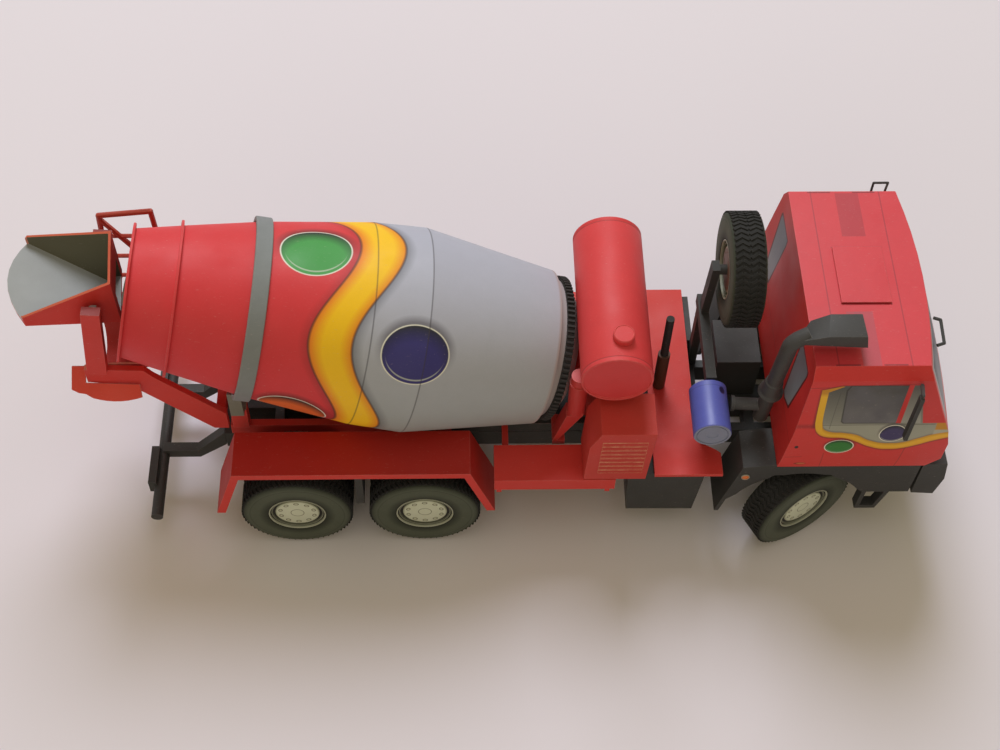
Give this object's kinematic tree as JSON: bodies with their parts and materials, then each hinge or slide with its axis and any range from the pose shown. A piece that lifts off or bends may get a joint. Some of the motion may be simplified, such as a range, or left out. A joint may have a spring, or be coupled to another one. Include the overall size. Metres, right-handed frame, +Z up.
{
  "type": "concrete mixer truck card model",
  "caption": "Hand-built card model of a concrete mixer lorry with a tilted turning drum, feed hopper, discharge trough, rolling wheels and steered front wheels.",
  "frame": {"origin": "middle of the bounding box in plan, at the ground under the tyres", "axes": "+X forwards to the cab, +Y to the truck's left, +Z up"},
  "size_m": [0.2872, 0.093, 0.1071],
  "materials": {
    "red_card": "matte",
    "black_card": "matte",
    "tyre_card": "matte",
    "grey_card": "matte",
    "silver_card": "matte",
    "blue_card": "matte"
  },
  "bodies": {
    "truck": {"subframe": "red_card", "mudguard_rear_right": "red_card", "mudguard_rear_left": "red_card", "side_box_right": "red_card", "side_box_left": "red_card", "drum_drive": "red_card", "tail_frame": "red_card", "discharge_trough": "red_card", "discharge_wing_right": "red_card", "discharge_wing_left": "red_card", "ladder": "red_card", "platform": "red_card", "cooler_box": "red_card", "water_tank": "red_card", "tank_stand": "red_card", "oil_pot": "red_card", "cab_shell": "red_card", "roof_hatch": "red_card", "axle_rear": "black_card", "axle_middle": "black_card", "axle_front": "black_card", "chassis_frame": "black_card", "underrun_bar": "black_card", "battery_boxes": "black_card", "exhaust_pipe": "black_card", "spare_carrier": "black_card", "engine_box": "black_card", "air_intake": "black_card", "front_wing_right": "black_card", "front_wing_left": "black_card", "bumper": "black_card", "mirror_right": "black_card", "mirror_left": "black_card", "screen_bracket": "black_card", "spare_wheel": "tyre_card", "roller_post_right": "grey_card", "roller_post_left": "grey_card", "hopper": "grey_card", "feed_chute": "grey_card", "air_filter": "blue_card"},
    "drum": {"drum_shell": "silver_card", "drum_ring": "grey_card", "drum_gear": "black_card"},
    "knuckle_left": {"knuckle_left": "black_card"},
    "knuckle_right": {"knuckle_right": "black_card"},
    "wheel_rear_right": {"wheel_rear_right": "tyre_card"},
    "wheel_rear_left": {"wheel_rear_left": "tyre_card"},
    "wheel_middle_right": {"wheel_middle_right": "tyre_card"},
    "wheel_middle_left": {"wheel_middle_left": "tyre_card"},
    "wheel_front_right": {"wheel_front_right": "tyre_card"},
    "wheel_front_left": {"wheel_front_left": "tyre_card"}
  },
  "joints": [
    {"name": "drum_turn", "type": "hinge", "parent": "truck", "child": "drum", "pos_m": [-0.06315, 0, 0.07524], "axis": [0.9732, 0, -0.23], "continuous": true},
    {"name": "wheel_rear_right_roll", "type": "hinge", "parent": "truck", "child": "wheel_rear_right", "pos_m": [-0.06315, 0, 0.018], "axis": [0, 1, 0], "continuous": true},
    {"name": "wheel_rear_left_roll", "type": "hinge", "parent": "truck", "child": "wheel_rear_left", "pos_m": [-0.06315, 0, 0.018], "axis": [0, 1, 0], "continuous": true},
    {"name": "wheel_middle_right_roll", "type": "hinge", "parent": "truck", "child": "wheel_middle_right", "pos_m": [-0.0219, 0, 0.018], "axis": [0, 1, 0], "continuous": true},
    {"name": "wheel_middle_left_roll", "type": "hinge", "parent": "truck", "child": "wheel_middle_left", "pos_m": [-0.0219, 0, 0.018], "axis": [0, 1, 0], "continuous": true},
    {"name": "steer_right", "type": "hinge", "parent": "truck", "child": "knuckle_right", "pos_m": [0.09825, -0.0315, 0.018], "axis": [0, 0, 1], "range_deg": [-63, 7]},
    {"name": "wheel_front_right_roll", "type": "hinge", "parent": "knuckle_right", "child": "wheel_front_right", "pos_m": [0.09825, -0.0315, 0.018], "axis": [-0.4695, 0.8829, 0], "continuous": true},
    {"name": "steer_left", "type": "hinge", "parent": "truck", "child": "knuckle_left", "pos_m": [0.09825, 0.0315, 0.018], "axis": [0, 0, 1], "range_deg": [-63, 7]},
    {"name": "wheel_front_left_roll", "type": "hinge", "parent": "knuckle_left", "child": "wheel_front_left", "pos_m": [0.09825, 0.0315, 0.018], "axis": [-0.4695, 0.8829, 0], "continuous": true}
  ],
  "couplings": [
    {"joint": "steer_right", "follows": "steer_left", "ratio": 1}
  ]
}
